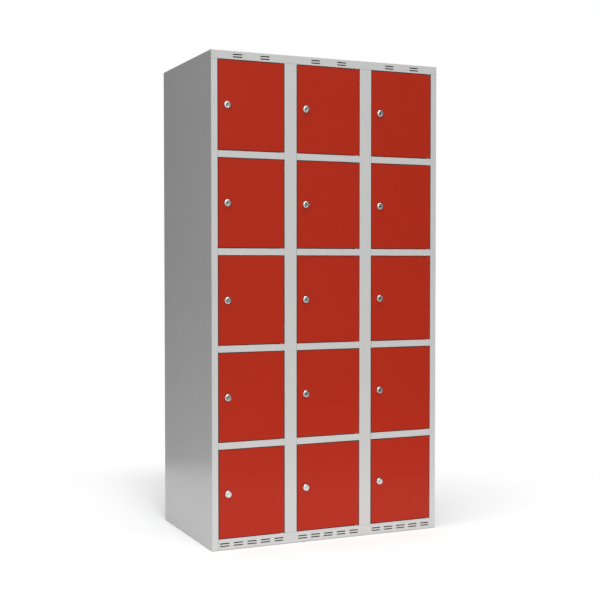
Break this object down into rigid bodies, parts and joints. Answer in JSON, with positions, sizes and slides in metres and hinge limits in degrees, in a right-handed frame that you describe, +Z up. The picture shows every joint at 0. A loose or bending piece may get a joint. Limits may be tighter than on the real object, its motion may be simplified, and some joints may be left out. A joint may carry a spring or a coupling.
{
  "type": "compartment locker",
  "caption": "Steel locker with columns of equal compartments, flush hinged doors with cam locks, and vent slots in its top and base rails.",
  "frame": {"origin": "on the floor, under the middle of the locker's box, with the locks' bezels counted in its depth", "axes": "+X to the right seen from the front, +Y to the back, +Z up; the doors face -Y"},
  "size_m": [0.9, 0.557, 1.75],
  "materials": {
    "grey_enamel": "satin",
    "red_enamel": "satin",
    "chrome": "polished",
    "zinc_plated_steel": "satin",
    "rubber": "matte"
  },
  "bodies": {
    "cabinet": {"side_panel_left": "grey_enamel", "side_panel_right": "grey_enamel", "back_panel": "grey_enamel", "roof_panel": "grey_enamel", "base_panel": "grey_enamel", "partition_ab": "grey_enamel", "stile_ab": "grey_enamel", "partition_bc": "grey_enamel", "stile_bc": "grey_enamel", "cross_rails": "grey_enamel", "shelves_a": "grey_enamel", "shelves_b": "grey_enamel", "shelves_c": "grey_enamel", "hinge_pins": "zinc_plated_steel", "door_buffers": "rubber"},
    "door_a1": {"door_a1": "red_enamel", "lock_barrel_a1": "chrome"},
    "lock_a1": {"lock_cam_a1": "chrome"},
    "door_a2": {"door_a2": "red_enamel", "lock_barrel_a2": "chrome"},
    "lock_a2": {"lock_cam_a2": "chrome"},
    "door_a3": {"door_a3": "red_enamel", "lock_barrel_a3": "chrome"},
    "lock_a3": {"lock_cam_a3": "chrome"},
    "door_a4": {"door_a4": "red_enamel", "lock_barrel_a4": "chrome"},
    "lock_a4": {"lock_cam_a4": "chrome"},
    "door_a5": {"door_a5": "red_enamel", "lock_barrel_a5": "chrome"},
    "lock_a5": {"lock_cam_a5": "chrome"},
    "door_b1": {"door_b1": "red_enamel", "lock_barrel_b1": "chrome"},
    "lock_b1": {"lock_cam_b1": "chrome"},
    "door_b2": {"door_b2": "red_enamel", "lock_barrel_b2": "chrome"},
    "lock_b2": {"lock_cam_b2": "chrome"},
    "door_b3": {"door_b3": "red_enamel", "lock_barrel_b3": "chrome"},
    "lock_b3": {"lock_cam_b3": "chrome"},
    "door_b4": {"door_b4": "red_enamel", "lock_barrel_b4": "chrome"},
    "lock_b4": {"lock_cam_b4": "chrome"},
    "door_b5": {"door_b5": "red_enamel", "lock_barrel_b5": "chrome"},
    "lock_b5": {"lock_cam_b5": "chrome"},
    "door_c1": {"door_c1": "red_enamel", "lock_barrel_c1": "chrome"},
    "lock_c1": {"lock_cam_c1": "chrome"},
    "door_c2": {"door_c2": "red_enamel", "lock_barrel_c2": "chrome"},
    "lock_c2": {"lock_cam_c2": "chrome"},
    "door_c3": {"door_c3": "red_enamel", "lock_barrel_c3": "chrome"},
    "lock_c3": {"lock_cam_c3": "chrome"},
    "door_c4": {"door_c4": "red_enamel", "lock_barrel_c4": "chrome"},
    "lock_c4": {"lock_cam_c4": "chrome"},
    "door_c5": {"door_c5": "red_enamel", "lock_barrel_c5": "chrome"},
    "lock_c5": {"lock_cam_c5": "chrome"}
  },
  "joints": [
    {"name": "door_a1_swing", "type": "hinge", "parent": "cabinet", "child": "door_a1", "pos_m": [-0.184, -0.2655, 1.5616], "axis": [0, 0, 1], "range_deg": [0, 110]},
    {"name": "lock_a1_turn", "type": "hinge", "parent": "door_a1", "child": "lock_a1", "pos_m": [-0.3905, -0.2715, 1.5616], "axis": [0, 1, 0], "range_deg": [0, 90]},
    {"name": "door_a2_swing", "type": "hinge", "parent": "cabinet", "child": "door_a2", "pos_m": [-0.184, -0.2655, 1.2208], "axis": [0, 0, 1], "range_deg": [0, 110]},
    {"name": "lock_a2_turn", "type": "hinge", "parent": "door_a2", "child": "lock_a2", "pos_m": [-0.3905, -0.2715, 1.2208], "axis": [0, 1, 0], "range_deg": [0, 90]},
    {"name": "door_a3_swing", "type": "hinge", "parent": "cabinet", "child": "door_a3", "pos_m": [-0.184, -0.2655, 0.88], "axis": [0, 0, 1], "range_deg": [0, 110]},
    {"name": "lock_a3_turn", "type": "hinge", "parent": "door_a3", "child": "lock_a3", "pos_m": [-0.3905, -0.2715, 0.88], "axis": [0, 1, 0], "range_deg": [0, 90]},
    {"name": "door_a4_swing", "type": "hinge", "parent": "cabinet", "child": "door_a4", "pos_m": [-0.184, -0.2655, 0.5392], "axis": [0, 0, 1], "range_deg": [0, 110]},
    {"name": "lock_a4_turn", "type": "hinge", "parent": "door_a4", "child": "lock_a4", "pos_m": [-0.3905, -0.2715, 0.5392], "axis": [0, 1, 0], "range_deg": [0, 90]},
    {"name": "door_a5_swing", "type": "hinge", "parent": "cabinet", "child": "door_a5", "pos_m": [-0.184, -0.2655, 0.1984], "axis": [0, 0, 1], "range_deg": [0, 110]},
    {"name": "lock_a5_turn", "type": "hinge", "parent": "door_a5", "child": "lock_a5", "pos_m": [-0.3905, -0.2715, 0.1984], "axis": [0, 1, 0], "range_deg": [0, 90]},
    {"name": "door_b1_swing", "type": "hinge", "parent": "cabinet", "child": "door_b1", "pos_m": [0.116, -0.2655, 1.5616], "axis": [0, 0, 1], "range_deg": [0, 110]},
    {"name": "lock_b1_turn", "type": "hinge", "parent": "door_b1", "child": "lock_b1", "pos_m": [-0.0905, -0.2715, 1.5616], "axis": [0, 1, 0], "range_deg": [0, 90]},
    {"name": "door_b2_swing", "type": "hinge", "parent": "cabinet", "child": "door_b2", "pos_m": [0.116, -0.2655, 1.2208], "axis": [0, 0, 1], "range_deg": [0, 110]},
    {"name": "lock_b2_turn", "type": "hinge", "parent": "door_b2", "child": "lock_b2", "pos_m": [-0.0905, -0.2715, 1.2208], "axis": [0, 1, 0], "range_deg": [0, 90]},
    {"name": "door_b3_swing", "type": "hinge", "parent": "cabinet", "child": "door_b3", "pos_m": [0.116, -0.2655, 0.88], "axis": [0, 0, 1], "range_deg": [0, 110]},
    {"name": "lock_b3_turn", "type": "hinge", "parent": "door_b3", "child": "lock_b3", "pos_m": [-0.0905, -0.2715, 0.88], "axis": [0, 1, 0], "range_deg": [0, 90]},
    {"name": "door_b4_swing", "type": "hinge", "parent": "cabinet", "child": "door_b4", "pos_m": [0.116, -0.2655, 0.5392], "axis": [0, 0, 1], "range_deg": [0, 110]},
    {"name": "lock_b4_turn", "type": "hinge", "parent": "door_b4", "child": "lock_b4", "pos_m": [-0.0905, -0.2715, 0.5392], "axis": [0, 1, 0], "range_deg": [0, 90]},
    {"name": "door_b5_swing", "type": "hinge", "parent": "cabinet", "child": "door_b5", "pos_m": [0.116, -0.2655, 0.1984], "axis": [0, 0, 1], "range_deg": [0, 110]},
    {"name": "lock_b5_turn", "type": "hinge", "parent": "door_b5", "child": "lock_b5", "pos_m": [-0.0905, -0.2715, 0.1984], "axis": [0, 1, 0], "range_deg": [0, 90]},
    {"name": "door_c1_swing", "type": "hinge", "parent": "cabinet", "child": "door_c1", "pos_m": [0.416, -0.2655, 1.5616], "axis": [0, 0, 1], "range_deg": [0, 110]},
    {"name": "lock_c1_turn", "type": "hinge", "parent": "door_c1", "child": "lock_c1", "pos_m": [0.2095, -0.2715, 1.5616], "axis": [0, 1, 0], "range_deg": [0, 90]},
    {"name": "door_c2_swing", "type": "hinge", "parent": "cabinet", "child": "door_c2", "pos_m": [0.416, -0.2655, 1.2208], "axis": [0, 0, 1], "range_deg": [0, 110]},
    {"name": "lock_c2_turn", "type": "hinge", "parent": "door_c2", "child": "lock_c2", "pos_m": [0.2095, -0.2715, 1.2208], "axis": [0, 1, 0], "range_deg": [0, 90]},
    {"name": "door_c3_swing", "type": "hinge", "parent": "cabinet", "child": "door_c3", "pos_m": [0.416, -0.2655, 0.88], "axis": [0, 0, 1], "range_deg": [0, 110]},
    {"name": "lock_c3_turn", "type": "hinge", "parent": "door_c3", "child": "lock_c3", "pos_m": [0.2095, -0.2715, 0.88], "axis": [0, 1, 0], "range_deg": [0, 90]},
    {"name": "door_c4_swing", "type": "hinge", "parent": "cabinet", "child": "door_c4", "pos_m": [0.416, -0.2655, 0.5392], "axis": [0, 0, 1], "range_deg": [0, 110]},
    {"name": "lock_c4_turn", "type": "hinge", "parent": "door_c4", "child": "lock_c4", "pos_m": [0.2095, -0.2715, 0.5392], "axis": [0, 1, 0], "range_deg": [0, 90]},
    {"name": "door_c5_swing", "type": "hinge", "parent": "cabinet", "child": "door_c5", "pos_m": [0.416, -0.2655, 0.1984], "axis": [0, 0, 1], "range_deg": [0, 110]},
    {"name": "lock_c5_turn", "type": "hinge", "parent": "door_c5", "child": "lock_c5", "pos_m": [0.2095, -0.2715, 0.1984], "axis": [0, 1, 0], "range_deg": [0, 90]}
  ]
}
